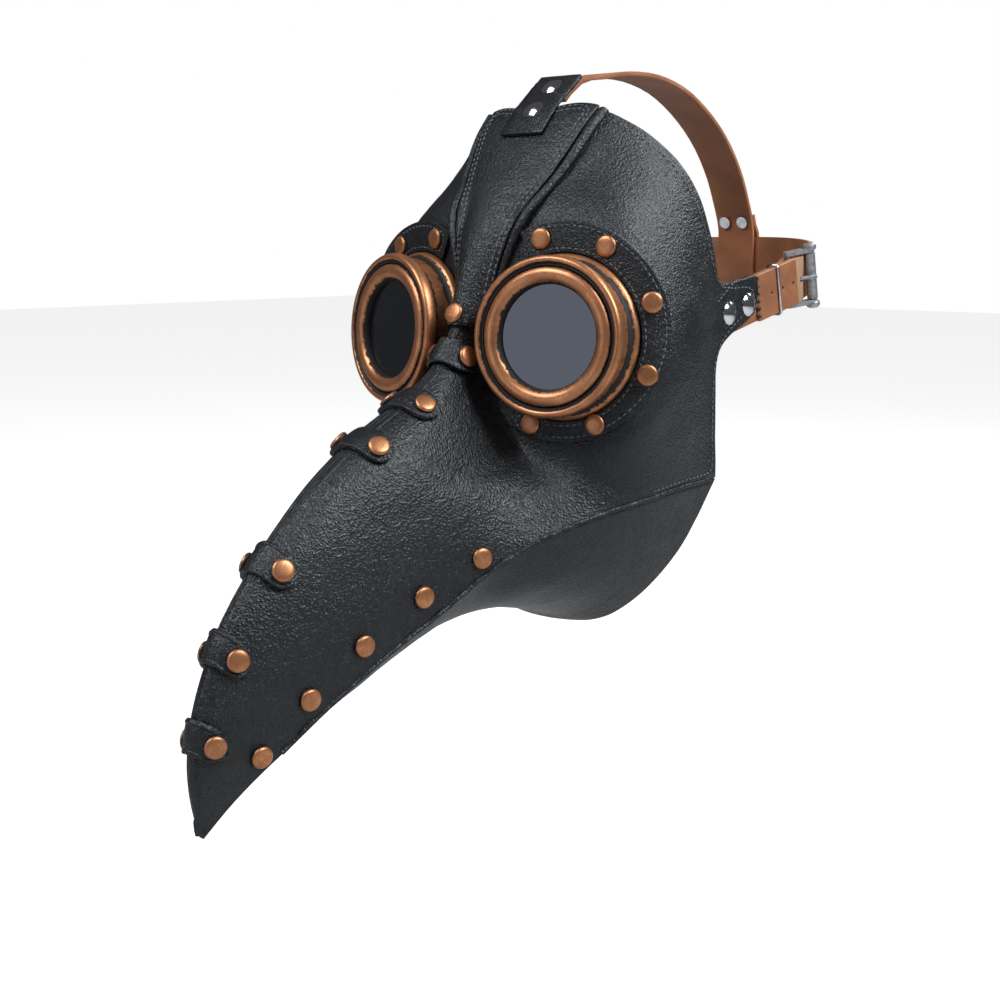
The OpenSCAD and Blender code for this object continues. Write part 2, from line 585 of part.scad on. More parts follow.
side_panel(RIGHT);  // side_panel_right
underside_panel();
forehead_panel();
forehead_trim(LEFT);  // forehead_trim_left
forehead_trim(RIGHT);  // forehead_trim_right
eye_flange(LEFT);  // eye_flange_left
eye_flange(RIGHT);  // eye_flange_right
bridge_strap();
beak_strap(1);  // beak_strap_1
beak_strap(2);  // beak_strap_2
beak_strap(3);  // beak_strap_3
beak_strap(4);  // beak_strap_4
beak_strap(5);  // beak_strap_5
goggle_cup(LEFT);  // goggle_cup_left
goggle_cup(RIGHT);  // goggle_cup_right
bezel_ring(LEFT);  // bezel_ring_left
bezel_ring(RIGHT);  // bezel_ring_right
lens_gasket(LEFT);  // lens_gasket_left
lens_gasket(RIGHT);  // lens_gasket_right
lens(LEFT);  // lens_left
lens(RIGHT);  // lens_right
clamp_ring(LEFT);  // clamp_ring_left
clamp_ring(RIGHT);  // clamp_ring_right
flange_studs(LEFT);  // flange_studs_left
flange_studs(RIGHT);  // flange_studs_right
beak_strap_studs();
beak_edge_studs(LEFT);  // beak_edge_studs_left
beak_edge_studs(RIGHT);  // beak_edge_studs_right
brow_stud();
crown_tab();
crown_rivets();
crown_strap();
loop_rivets();
temple_rivets(LEFT);  // temple_rivets_left
temple_rivets(RIGHT);  // temple_rivets_right
side_strap(LEFT);  // side_strap_left
side_strap(RIGHT);  // side_strap_right
buckle_frame(LEFT);  // buckle_frame_left
buckle_frame(RIGHT);  // buckle_frame_right
buckle_roller(LEFT);  // buckle_roller_left
buckle_roller(RIGHT);  // buckle_roller_right
buckle_prong(LEFT);  // buckle_prong_left
buckle_prong(RIGHT);  // buckle_prong_right
strap_keeper(LEFT);  // strap_keeper_left
strap_keeper(RIGHT);  // strap_keeper_right
back_strap();
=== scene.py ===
"""Finish of a beaked leather mask: leather, goggles, studs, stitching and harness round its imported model."""

import json
import math
from math import cos, pi, radians, sin

import bmesh
import bpy
from bpy.props import FloatProperty, FloatVectorProperty, IntProperty, PointerProperty
from mathutils import Matrix, Vector, noise
from mathutils.bvhtree import BVHTree


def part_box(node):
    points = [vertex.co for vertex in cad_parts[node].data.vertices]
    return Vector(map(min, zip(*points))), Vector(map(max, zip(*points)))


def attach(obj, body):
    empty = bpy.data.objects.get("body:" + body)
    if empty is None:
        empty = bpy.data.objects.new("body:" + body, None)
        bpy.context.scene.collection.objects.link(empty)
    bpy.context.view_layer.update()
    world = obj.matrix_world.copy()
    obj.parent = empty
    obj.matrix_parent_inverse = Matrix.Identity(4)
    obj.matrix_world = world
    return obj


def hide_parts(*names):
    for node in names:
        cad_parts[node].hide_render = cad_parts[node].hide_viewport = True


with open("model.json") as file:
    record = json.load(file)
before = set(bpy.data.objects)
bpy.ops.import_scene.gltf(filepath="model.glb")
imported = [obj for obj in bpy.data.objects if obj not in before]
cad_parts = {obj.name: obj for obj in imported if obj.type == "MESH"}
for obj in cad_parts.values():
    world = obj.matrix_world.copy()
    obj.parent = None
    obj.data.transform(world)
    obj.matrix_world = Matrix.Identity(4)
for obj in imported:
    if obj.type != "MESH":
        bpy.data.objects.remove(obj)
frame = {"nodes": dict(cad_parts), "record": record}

bl_info = {
    "name": "Beaked Mask Finish",
    "version": (1, 0, 0),
    "blender": (4, 5, 0),
    "location": "View3D > Sidebar > Mask",
    "description": "Gives a beaked leather mask its leather, goggles, studs, stitching and harness",
    "category": "Object",
}

MM = 0.001
SIDES = {"left": 1, "right": -1}
NODES = frame["nodes"]

# The temple frame lies along the side strap: Y runs back along it, Z across it, X outwards.
TEMPLE_START = (0, 16 * MM, 8 * MM)
STRAP_RISE = radians(12)
TAIL_X, TAIL_END_Y = 80.2 * MM, 30.5 * MM
NOTCH, NOTCH_PLACES = 2.83 * MM, (-10, -6, -2, 2, 6, 10)
ROLLER_X, ROLLER_Y, KNOB_Z = 81.8 * MM, 84 * MM, 15.4 * MM
KEEPER_HALF_X, KEEPER_HALF_Z, KEEPER_BEND = 3.2 * MM, 13.2 * MM, 1.9 * MM
STRAP_EASE = 0.45 * MM

GOGGLE_SPLAY, GOGGLE_PITCH = radians(14), radians(4)
LENS_MIDDLE = 15.95 * MM            # from the leather to the middle of the lens
STUD_SIDES = 40


# ---- Settings ----

def length(name, text, default, low, high):
    return FloatProperty(name=name, description=text, default=default, min=low, max=high, subtype="DISTANCE",
                         unit="LENGTH", precision=5)


def colour(name, text, default):
    return FloatVectorProperty(name=name, description=text, default=default, size=3, min=0, max=1,
                               subtype="COLOR")


class LeatherSettings(bpy.types.PropertyGroup):
    # The dark colour is also painted into the leather's creases as shade.
    dark: colour("Dark", "Colour of the leather in its hollows", (0.0045, 0.0055, 0.007))
    light: colour("Light", "Colour of the leather where it is rubbed", (0.014, 0.017, 0.021))
    grain: length("Grain", "Size of one pebble of the grain", 0.0011, 0.0004, 0.003)
    relief: length("Relief", "Depth of the soft unevenness of the moulding", 0.0005, 0, 0.001)
    thread: colour("Thread", "Colour of the stitches", (0.13, 0.14, 0.15))
    pitch: length("Stitch pitch", "Distance from one stitch to the next", 0.0033, 0.002, 0.006)


class MetalSettings(bpy.types.PropertyGroup):
    copper: colour("Copper", "Colour of the copper", (0.52, 0.215, 0.095))
    tarnish: colour("Tarnish", "Colour of the dark in the copper's grooves", (0.016, 0.01, 0.008))
    turns: IntProperty(name="Turns", description="Faces round a goggle", default=96, min=32, max=160)
    steel: colour("Steel", "Colour of the buckles", (0.5, 0.51, 0.53))


class HarnessSettings(bpy.types.PropertyGroup):
    tan: colour("Tan", "Colour of the strap leather", (0.36, 0.135, 0.058))
    raw: colour("Raw edge", "Colour of the cut edge of a strap", (0.42, 0.24, 0.14))
    wire: length("Wire", "Radius of the keeper's wire", 0.0008, 0.0005, 0.0012)


class StageSettings(bpy.types.PropertyGroup):
    focal: FloatProperty(name="Focal length", description="Focal length of the camera, in millimetres",
                         default=54, min=20, max=120)
    floor: length("Floor", "Height of the floor", -0.30, -1, 0)


# ---- Shader maths ----

class Wire:
    """An output socket that can be used in sums."""

    def __init__(self, recipe, socket):
        self.recipe, self.socket = recipe, socket

    def __add__(self, other):
        return self.recipe.maths("ADD", self, other)

    def __sub__(self, other):
        return self.recipe.maths("SUBTRACT", self, other)

    def __rsub__(self, other):
        return self.recipe.maths("SUBTRACT", other, self)

    def __mul__(self, other):
        return self.recipe.maths("MULTIPLY", self, other)

    def __pow__(self, other):
        return self.recipe.maths("POWER", self, other)

    __radd__ = __add__
    __rmul__ = __mul__

    def above(self, low, high):
        """0 under low, 1 over high, smooth between."""
        return self.recipe.add("ShaderNodeMapRange", {"interpolation_type": "SMOOTHSTEP"},
                               {0: self, 1: low, 2: high, 3: 0, 4: 1})


class Recipe:
    """One material and its nodes."""

    def __init__(self, name):
        self.material = bpy.data.materials.new(name)
        self.material.use_nodes = True
        self.tree = self.material.node_tree
        self.shader = self.tree.nodes["Principled BSDF"]
        self.place = self.add("ShaderNodeTexCoord", {}, {}, "Object")

    def add(self, kind, settings, values, output=0):
        node = self.tree.nodes.new(kind)
        for key, value in settings.items():
            setattr(node, key, value)
        for key, value in values.items():
            self.feed(node.inputs[key], value)
        return Wire(self, node.outputs[output])

    def feed(self, socket, value):
        if isinstance(value, Wire):
            self.tree.links.new(value.socket, socket)
        elif hasattr(value, "__len__") and len(value) == 3 and len(socket.default_value) == 4:
            socket.default_value = (*value, 1)
        else:
            socket.default_value = value

    def maths(self, operation, *values):
        return self.add("ShaderNodeMath", {"operation": operation}, dict(enumerate(values)))

    def mix(self, factor, a, b):
        return self.add("ShaderNodeMix", {"data_type": "RGBA"}, {0: factor, 6: a, 7: b}, 2)

    def noise(self, scale, detail=2, distortion=0, place=None):
        return self.add("ShaderNodeTexNoise", {}, {"Vector": place or self.place, "Scale": scale, "Detail": detail,
                                                   "Distortion": distortion})

    def cells(self, scale, feature="F1", place=None, smooth=None):
        values = {"Vector": place or self.place, "Scale": scale}
        if smooth is not None:
            values["Smoothness"] = smooth
        return self.add("ShaderNodeTexVoronoi", {"feature": feature}, values)

    def stretch(self, scale, turn=(0, 0, 0)):
        return self.add("ShaderNodeMapping", {}, {"Vector": self.place, "Rotation": turn, "Scale": scale})

    def attribute(self, name):
        return self.add("ShaderNodeAttribute", {"attribute_name": name}, {}, "Fac")

    def finish(self, height=None, depth=1.0, **values):
        """Feeds the shader; height is in millimetres and becomes its bump."""
        if height is not None:
            values["Normal"] = self.add("ShaderNodeBump", {}, {"Strength": depth, "Distance": MM, "Height": height})
        for key, value in values.items():
            self.feed(self.shader.inputs[key.replace("_", " ")], value)
        return self.material


def black_leather():
    s = bpy.context.scene.mask_leather
    r = Recipe("black_leather")
    pebbles = r.cells(1 / s.grain, "SMOOTH_F1", smooth=0.25)
    fine = r.noise(900, 3)
    streaks = r.noise(1, 5, 0.6, r.stretch((760, 260, 330), (0.5, 0.2, 0.4)))
    patches = r.noise(38, 3)
    folds = r.noise(1, 4, 1.6, r.stretch((70, 150, 240), (0.7, 0.1, 0.5)))
    crease = (1 - r.maths("ABSOLUTE", folds - 0.5).above(0, 0.02)) * patches.above(0.35, 0.7)
    pits = (1 - r.cells(260).above(0.05, 0.22)) * r.noise(55, 2).above(0.56, 0.66)
    height = 0.30 * pebbles + 0.24 * fine + 0.52 * streaks - 0.1 * crease - 0.3 * pits
    # Rubbed patches lighten the leather at random, and the creases are darkened in the colour as painted shade.
    rub_and_crease_shade = streaks.above(0.42, 0.72) * 0.5 + patches.above(0.4, 0.75) * 0.5 - 0.3 * crease
    return r.finish(height, 1.0, Base_Color=r.mix(rub_and_crease_shade, tuple(s.dark), tuple(s.light)),
                    Roughness=0.34 - 0.12 * rub_and_crease_shade + 0.12 * fine)


def worn_copper():
    s = bpy.context.scene.mask_metal
    r = Recipe("worn_copper")
    patches = r.noise(120, 4)
    scratches = r.noise(1, 3, 0.4, r.stretch((2600, 160, 420), (0.3, 0.5, 0.2)))
    dents = r.cells(330)
    pit = (1 - dents.above(0.06, 0.16)) * r.noise(140, 1).above(0.52, 0.6)
    speck = r.noise(430, 3)
    worked_in = r.attribute("grime") + (patches - 0.5) * 0.5 + (speck - 0.5) * 1.2
    grime = r.maths("MAXIMUM", worked_in.above(0.34, 0.6), pit * 0.9)
    base = tuple(s.copper)
    pale = tuple(min(1, c * 1.2 + 0.03) for c in base)
    dusky = tuple(c * 0.7 for c in base)
    worn = r.mix(patches.above(0.3, 0.8), r.mix(scratches.above(0.5, 0.62), base, pale), dusky)
    return r.finish(0.05 * scratches + 0.10 * patches - 0.12 * pit, 0.8,
                    Base_Color=r.mix(grime, worn, tuple(s.tarnish)), Metallic=0.75 - 0.6 * grime,
                    Roughness=0.30 + 0.14 * patches + 0.25 * grime)


def dark_glass():
    r = Recipe("dark_glass")
    smear = r.noise(60, 2).above(0.45, 0.8)
    return r.finish(Base_Color=(0.004, 0.005, 0.009), Roughness=0.03 + 0.05 * smear, IOR=1.75, Coat_Weight=0.6,
                    Coat_Roughness=0.02)


def tan_leather():
    s = bpy.context.scene.mask_harness
    r = Recipe("tan_leather")
    fibres = r.noise(700, 4)
    patches = r.noise(45, 3)
    pores = r.cells(1500)
    edge = r.attribute("edge").above(0.3, 0.7)
    base = tuple(s.tan)
    deep = tuple(c * 0.72 for c in base)
    face = r.mix(patches.above(0.35, 0.7), base, deep)
    return r.finish(0.05 * fibres + 0.05 * pores + 0.25 * edge * fibres, 1.0,
                    Base_Color=r.mix(edge, face, tuple(s.raw)), Roughness=0.46 + 0.1 * fibres + 0.25 * edge)


def thread():
    s = bpy.context.scene.mask_leather
    r = Recipe("waxed_thread")
    twist = r.noise(2500, 2)
    base = tuple(s.thread)
    return r.finish(0.06 * twist, 1.0, Base_Color=r.mix(r.noise(70, 2).above(0.4, 0.7), base,
                                                        tuple(c * 0.45 for c in base)),
                    Roughness=0.55 + 0.2 * twist)


def bright_chrome():
    r = Recipe("bright_chrome")
    haze = r.noise(300, 3)
    return r.finish(0.01 * haze, 0.6, Base_Color=r.mix(haze.above(0.4, 0.8), (0.82, 0.82, 0.84), (0.6, 0.6, 0.62)),
                    Metallic=1, Roughness=0.08 + 0.1 * haze)


def dull_steel():
    s = bpy.context.scene.mask_metal
    r = Recipe("dull_steel")
    haze = r.noise(400, 3)
    base = tuple(s.steel)
    return r.finish(0.04 * haze, 0.8, Base_Color=r.mix(haze.above(0.35, 0.75), base, tuple(c * 0.6 for c in base)),
                    Metallic=0.85, Roughness=0.36 + 0.15 * haze)


def turned_aluminium():
    r = Recipe("turned_aluminium")
    lines = r.noise(900, 2)
    return r.finish(0.03 * lines, 0.8, Base_Color=r.mix(lines, (0.45, 0.45, 0.46), (0.6, 0.6, 0.61)), Metallic=0.9,
                    Roughness=0.38 + 0.1 * lines)


def black_rubber():
    r = Recipe("black_rubber")
    dust = r.noise(600, 3)
    return r.finish(0.03 * dust, 1.0, Base_Color=r.mix(dust, (0.006, 0.006, 0.006), (0.02, 0.02, 0.02)),
                    Roughness=0.7 + 0.15 * dust)


MATERIALS = {}
MAKERS = {"shell_leather": black_leather, "copper": worn_copper, "lens_glass": dark_glass,
          "strap_leather": tan_leather, "thread": thread, "chrome": bright_chrome, "buckle_steel": dull_steel,
          "clamp_metal": turned_aluminium, "gasket_rubber": black_rubber}


def material(slot):
    if slot not in MATERIALS:
        MATERIALS[slot] = MAKERS[slot]()
    return MATERIALS[slot]


# ---- Making pieces ----

def piece(name, mesh, slot, replaced=(), body="shell", look=None):
    obj = bpy.data.objects.new(name, mesh)
    bpy.context.scene.collection.objects.link(obj)
    mesh.materials.clear()
    mesh.materials.append(material(look or slot))
    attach(obj, body)
    if replaced:
        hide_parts(*replaced)
    return obj


def mesh_from(bm, name, sharp=40):
    mesh = bpy.data.meshes.new(name)
    bm.to_mesh(mesh)
    bm.free()
    mesh.shade_smooth()
    mesh.set_sharp_from_angle(angle=radians(sharp))
    return mesh


def with_modifiers(mesh, *modifiers):
    """The mesh after modifiers, each given as its type and its settings."""
    obj = bpy.data.objects.new("work", mesh)
    bpy.context.scene.collection.objects.link(obj)
    for kind, settings in modifiers:
        m = obj.modifiers.new(kind, kind)
        for key, value in settings.items():
            setattr(m, key, value)
    graph = bpy.context.evaluated_depsgraph_get()
    made = bpy.data.meshes.new_from_object(obj.evaluated_get(graph))
    bpy.data.objects.remove(obj)
    return made


def merged_copy(node):
    bm = bmesh.new()
    bm.from_mesh(NODES[node].data)
    bmesh.ops.remove_doubles(bm, verts=bm.verts, dist=0.02 * MM)
    bmesh.ops.join_triangles(bm, faces=bm.faces, angle_face_threshold=radians(35), angle_shape_threshold=pi)
    return bm


def subdivided(node, levels, firm=0.85, corner=50):
    bm = merged_copy(node)
    firmness = bm.edges.layers.float.get("crease_edge") or bm.edges.layers.float.new("crease_edge")
    for e in bm.edges:
        if e.is_manifold and e.calc_face_angle() > radians(corner):
            e[firmness] = firm
    return with_modifiers(mesh_from(bm, node), ("SUBSURF", {"levels": levels, "render_levels": levels}))


def moulding(p):
    """How far the moulded leather stands off its even shape at p, in metres."""
    depth = bpy.context.scene.mask_leather.relief
    soft = noise.noise(p * 42) * 0.6 + noise.noise(p * 95 + Vector((3, 1, 2))) * 0.4
    return depth * soft


def moulded(mesh):
    stands = [v.co + v.normal * moulding(v.co) for v in mesh.vertices]
    for v, place in zip(mesh.vertices, stands):
        v.co = place
    mesh.update()
    mesh.set_sharp_from_angle(angle=radians(55))
    return mesh


def surface(*objects):
    bm = bmesh.new()
    for o in objects:
        bm.from_mesh(o.data)
    tree = BVHTree.FromBMesh(bm)
    bm.free()
    return tree


# ---- Lines ----

def curve_through(points, step):
    """A smooth line through points, resampled at even steps."""
    pts = [Vector(p) for p in points]
    ends = [2 * pts[0] - pts[1], *pts, 2 * pts[-1] - pts[-2]]
    fine = []
    for a, b, c, d in zip(ends, ends[1:], ends[2:], ends[3:]):
        for k in range(12):
            f = k / 12
            fine.append(0.5 * (2 * b + (c - a) * f + (2 * a - 5 * b + 4 * c - d) * f * f
                               + (3 * b - a - 3 * c + d) * f ** 3))
    return even_steps(fine + [pts[-1]], step)


def even_steps(line, step):
    spans = [(b - a).length for a, b in zip(line, line[1:])]
    count = max(1, round(sum(spans) / step))
    gap = sum(spans) / count
    made, i, gone = [line[0].copy()], 0, 0.0
    for k in range(1, count):
        while i < len(spans) - 1 and gone + spans[i] < k * gap:
            gone += spans[i]
            i += 1
        made.append(line[i].lerp(line[i + 1], (k * gap - gone) / max(spans[i], 1e-9)))
    return made + [line[-1].copy()]


def chains(pairs):
    """Joins pairs of points that share an end into lines. Each pair carries its inward direction."""
    near = {}
    for n, (a, b, _) in enumerate(pairs):
        for end in (a, b):
            near.setdefault(end, []).append(n)
    left, made = set(range(len(pairs))), []
    while left:
        open_ends = [k for k, ns in near.items() if len([n for n in ns if n in left]) == 1]
        here = min(open_ends, key=lambda k: (k[2], k[0])) if open_ends else pairs[min(left)][0]
        line, inward = [Vector(here)], []
        while True:
            nxt = [n for n in near[here] if n in left]
            if not nxt:
                break
            n = nxt[0]
            left.discard(n)
            a, b, side = pairs[n]
            here = b if a == here else a
            line.append(Vector(here))
            inward.append(side)
        if len(line) > 2:
            made.append((line, [inward[0], *[(p + q).normalized() for p, q in zip(inward, inward[1:])], inward[-1]]))
    return made


def edge_lines(node, facing, corner=50, keep=lambda p: True):
    """The outline of a sheet's outer face, as lines with their inward directions."""
    bm = merged_copy(node)
    pairs = []
    for e in bm.edges:
        if not e.is_manifold or e.calc_face_angle() < radians(corner):
            continue
        middle = (e.verts[0].co + e.verts[1].co) / 2
        if not keep(middle):
            continue
        best = max(e.link_faces, key=lambda f: f.normal.dot(facing(middle)))
        if best.normal.dot(facing(middle)) < 0.35:
            continue
        along = (e.verts[1].co - e.verts[0].co).normalized()
        side = best.calc_center_median() - middle
        side = (side - along * side.dot(along)).normalized()
        pairs.append((tuple(e.verts[0].co), tuple(e.verts[1].co), side))
    bm.free()
    return chains(pairs)


def inset_line(line, inward, distance, tree, step, lift=0.0):
    """The line moved inwards over the surface, at even steps, as points with their normals."""
    moved = [p + s * distance for p, s in zip(line, inward)]
    for _ in range(2):
        moved = [moved[0], *[(a + 2 * b + c) / 4 for a, b, c in zip(moved, moved[1:], moved[2:])], moved[-1]]
    made = []
    for p in even_steps(moved, step):
        spot, normal, _, _ = tree.find_nearest(p)
        made.append((spot + normal * lift, normal))
    return made


def stitch_mesh(rows, size):
    """A short thread bead at each point of each row, along the row."""
    bm = bmesh.new()
    bmesh.ops.create_uvsphere(bm, u_segments=8, v_segments=5, radius=1)
    one = mesh_from(bm, "stitch", 80)
    bm = bmesh.new()
    for row in rows:
        for (a, n), (b, _) in zip(row, row[1:]):
            along = (b - a).normalized()
            across = along.cross(n).normalized()
            turn = Matrix((across, along, across.cross(along))).transposed().to_4x4()
            bead_mesh = one.copy()
            bead_mesh.transform(Matrix.Translation((a + b) / 2) @ turn @ Matrix.Diagonal((*size, 1)))
            bm.from_mesh(bead_mesh)
            bpy.data.meshes.remove(bead_mesh)
    return mesh_from(bm, "stitches", 80)


def bead(name, line, radius, slot, replaced=(), body="shell", cyclic=False, sides=4):
    """A round cord of leather or wire along a line."""
    data = bpy.data.curves.new(name, "CURVE")
    data.dimensions = "3D"
    data.bevel_depth = radius
    data.bevel_resolution = sides
    data.use_fill_caps = True
    spline = data.splines.new("POLY")
    spline.points.add(len(line) - 1)
    for p, co in zip(spline.points, line):
        p.co = (*co, 1)
    spline.use_cyclic_u = cyclic
    obj = bpy.data.objects.new("work", data)
    bpy.context.scene.collection.objects.link(obj)
    mesh = bpy.data.meshes.new_from_object(obj.evaluated_get(bpy.context.evaluated_depsgraph_get()))
    bpy.data.objects.remove(obj)
    bm = bmesh.new()
    bm.from_mesh(mesh)
    bmesh.ops.remove_doubles(bm, verts=bm.verts, dist=0.005 * MM)
    bmesh.ops.recalc_face_normals(bm, faces=bm.faces)
    return piece(name, mesh_from(bm, name, 60), slot, replaced, body)


# ---- The leather shell ----

SHELL = {}


def make_shell():
    for side in SIDES:
        node = f"side_panel_{side}"
        SHELL[side] = piece(f"side_leather_{side}", moulded(subdivided(node, 2)), "shell_leather", [node])
    SHELL["under"] = piece("underside_leather", moulded(subdivided("underside_panel", 2)), "shell_leather",
                           ["underside_panel"])
    SHELL["tree"] = surface(SHELL["left"], SHELL["right"], SHELL["under"])


def make_overlays():
    for node, levels in (("forehead_panel", 2), ("forehead_trim_left", 3), ("forehead_trim_right", 3),
                         ("eye_flange_left", 3), ("eye_flange_right", 3), ("bridge_strap", 2),
                         ("crown_tab", 2)) + tuple((f"beak_strap_{k}", 2) for k in range(1, 6)):
        SHELL[node] = piece(f"{node}_leather", moulded(subdivided(node, levels)), "shell_leather", [node])


# ---- Goggles, studs and caps ----

def goggle_frame(side):
    """The goggle's own frame: Z out of the lens, its origin where the cup meets the leather."""
    k = SIDES[side]
    splay, pitch = GOGGLE_SPLAY, GOGGLE_PITCH
    out = Vector((k * sin(splay) * cos(pitch), -cos(splay) * cos(pitch), sin(pitch)))
    x = Vector((cos(splay), k * sin(splay), 0))
    y = out.cross(x)
    low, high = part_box(f"lens_{side}")
    lens = (Vector(low) + Vector(high)) / 2
    base = lens - out * LENS_MIDDLE
    turn = Matrix((x, y, out)).transposed().to_4x4()
    return Matrix.Translation(base) @ turn


def spun(name, outline, place, turns, closed=True):
    """Spins an outline of (radius, height, grime) in millimetres round Z."""
    bm = bmesh.new()
    grime = bm.verts.layers.float.new("grime")
    row = []
    for r, z, g in outline:
        v = bm.verts.new((r * MM, 0, z * MM))
        v[grime] = g
        row.append(v)
    pairs = list(zip(row, row[1:])) + ([(row[-1], row[0])] if closed else [])
    edges = [bm.edges.new(p) for p in pairs]
    bmesh.ops.spin(bm, geom=row + edges, axis=(0, 0, 1), cent=(0, 0, 0), angle=2 * pi, steps=turns, use_merge=True)
    bmesh.ops.remove_doubles(bm, verts=bm.verts, dist=0.01 * MM)
    bmesh.ops.transform(bm, matrix=place, verts=bm.verts)
    bmesh.ops.recalc_face_normals(bm, faces=bm.faces)
    return mesh_from(bm, name, 35)


CUP = ((31, -8, 1), (34, -8, 1), (34, 0.3, 1), (38.6, 0.35, 1), (39.4, 0.9, 0.9), (39.6, 2, 0.3), (39.4, 3.2, 0.1),
       (38.6, 4.2, 0.2), (37.3, 4.9, 0.7), (36.6, 5.6, 1), (36.2, 6.6, 0.8), (36, 8, 0.35), (36, 12.2, 0.25),
       (36.1, 13.6, 0.5), (36.5, 14.6, 0.9), (37, 15.1, 0.9), (37.5, 15.4, 0.4), (37.9, 16.2, 0.1), (38, 17.3, 0),
       (38, 19, 0), (37.8, 20.2, 0), (37.2, 21.1, 0), (36.3, 21.5, 0), (35.4, 21.4, 0.1), (34.8, 20.9, 0.6),
       (34.4, 20.2, 1), (33.9, 19.8, 1), (33.3, 19.9, 0.9), (33.1, 19.4, 1), (33.1, 15, 1), (29.7, 15, 1),
       (29.7, 14.8, 1), (28, 14.8, 1), (28, 12, 1), (31, 11, 1))
BEZEL = ((24.6, 17.6, 1), (24.8, 18.6, 1), (25.3, 19.6, 0.7), (26.1, 20.7, 0.3), (27.2, 21.5, 0), (28.5, 21.9, 0),
         (29.8, 21.9, 0), (31, 21.6, 0), (31.9, 21, 0.1), (32.5, 20.3, 0.6), (32.8, 19.4, 1), (32.9, 15.2, 1),
         (29.7, 15.2, 1), (29.7, 17.8, 1), (25.2, 17.6, 1))


def make_goggles():
    turns = bpy.context.scene.mask_metal.turns
    for side in SIDES:
        place = goggle_frame(side)
        for part, outline, node in (("cup", CUP, f"goggle_cup_{side}"), ("bezel", BEZEL, f"bezel_ring_{side}")):
            piece(f"goggle_{part}_{side}_cast", spun(f"{part}_{side}", outline, place, turns), "copper", [node])
        pane = ((0, 14.9, 0), (29.5, 14.9, 0), (29.5, 16.5, 0), (29, 17, 0), (0, 17, 0))
        piece(f"lens_{side}_pane", spun(f"lens_{side}", pane, place, turns, closed=False), "lens_glass",
              [f"lens_{side}"])


def islands(node):
    """The separate solids of a node."""
    bm = merged_copy(node)
    left, made = set(bm.verts), []
    while left:
        stack, found = [next(iter(left))], set()
        while stack:
            v = stack.pop()
            if v in found:
                continue
            found.add(v)
            stack += [e.other_vert(v) for e in v.link_edges]
        left -= found
        made.append((sorted({f for v in found for f in v.link_faces}, key=lambda f: f.index), found))
    solids = []
    for faces, verts in made:
        flat = max(faces, key=lambda f: sum(g.calc_area() for g in faces if g.normal.dot(f.normal) > 0.9995))
        base = [g for g in faces if g.normal.dot(flat.normal) > 0.9995]
        area = sum(g.calc_area() for g in base)
        middle = sum((g.calc_center_median() * g.calc_area() for g in base), Vector()) / area
        solids.append((middle, -flat.normal, math.sqrt(area / pi)))
    bm.free()
    return sorted(solids, key=lambda s: tuple(round(c, 4) for c in s[0]))


STUD = ((0, -0.6, 0), (4.9, -0.6, 1), (5.05, -0.2, 1), (5.1, 0.3, 0.7), (5, 0.9, 0.25), (4.7, 1.35, 0), (4.1, 1.65, 0),
        (3.2, 1.85, 0), (1.8, 1.98, 0), (0, 2, 0))


def upright(middle, out):
    side = out.orthogonal().normalized()
    return Matrix.Translation(middle) @ Matrix((side, out.cross(side), out)).transposed().to_4x4()


def joined(meshes, name):
    bm = bmesh.new()
    bm.verts.layers.float.new("grime")
    for m in meshes:
        bm.from_mesh(m)
    made = bpy.data.meshes.new(name)
    bm.to_mesh(made)
    bm.free()
    return made


def make_studs():
    for node in ("flange_studs_left", "flange_studs_right", "beak_strap_studs", "beak_edge_studs_left",
                 "beak_edge_studs_right", "brow_stud"):
        caps = []
        for n, (middle, out, r) in enumerate(islands(node)):
            lean = Vector((noise.noise(Vector((n, 0.3, 7))), noise.noise(Vector((n, 5.1, 2))), 0)) * 0.05
            place = upright(middle, (out + lean).normalized())
            size = 1 + 0.03 * noise.noise(Vector((n, 2.2, 9)))
            caps.append(spun("cap", [(a * size, b, g) for a, b, g in STUD], place, STUD_SIDES,
                             closed=False))
        piece(f"{node}_caps", joined(caps, node), "copper", [node])


# ---- Stitching ----

def outwards(p):
    return Vector((p.x, p.y + 0.02 - 0.2 * max(0, -p.y - 0.08), 0.35 * p.z)).normalized()


def make_stitching():
    s = bpy.context.scene.mask_leather
    thread_size = (0.42 * MM, 1.15 * MM, 0.3 * MM)
    rows = []
    for side, k in SIDES.items():
        tree = surface(SHELL[side])
        rim = edge_lines(f"side_panel_{side}", outwards, keep=lambda p: p.y > -0.04 and abs(p.x) > 0.02)
        for line, inward in rim:
            rows.append(inset_line(line, inward, 4.2 * MM, tree, s.pitch, 0.1 * MM))
        flange = f"eye_flange_{side}"
        tree = surface(SHELL[flange])
        out = goggle_frame(side).to_3x3() @ Vector((0, 0, 1))
        for line, inward in edge_lines(flange, lambda p: out):
            rows.append(inset_line(line, inward, 2.2 * MM, tree, s.pitch, 0.1 * MM))
    tree = surface(SHELL["forehead_panel"])
    for line, inward in edge_lines("forehead_panel", outwards):
        for distance in (1.8, 4.6):
            rows.append(inset_line(line, inward, distance * MM, tree, s.pitch, 0.1 * MM))
    piece("stitching", stitch_mesh(rows, thread_size), "shell_leather", look="thread")


# ---- Seams and lips ----

RIDGE = ((-263, -207), (-267, -178), (-262, -150), (-246, -116), (-214, -80), (-180, -53), (-145, -35), (-116, -18),
         (-100, 3))
CREASE = ((14, -227, -176), (20, -208, -161), (27, -178, -142), (34, -145, -125), (41, -124, -111), (52, -106, -98),
          (65, -82, -88), (76, -57, -82), (80, -24, -78), (80, 6, -76))


def laid(line, tree, sink):
    """The line brought onto the surface and sunk into it."""
    made = []
    for p in line:
        spot, normal, _, _ = tree.find_nearest(p)
        made.append(spot - normal * sink)
    return made


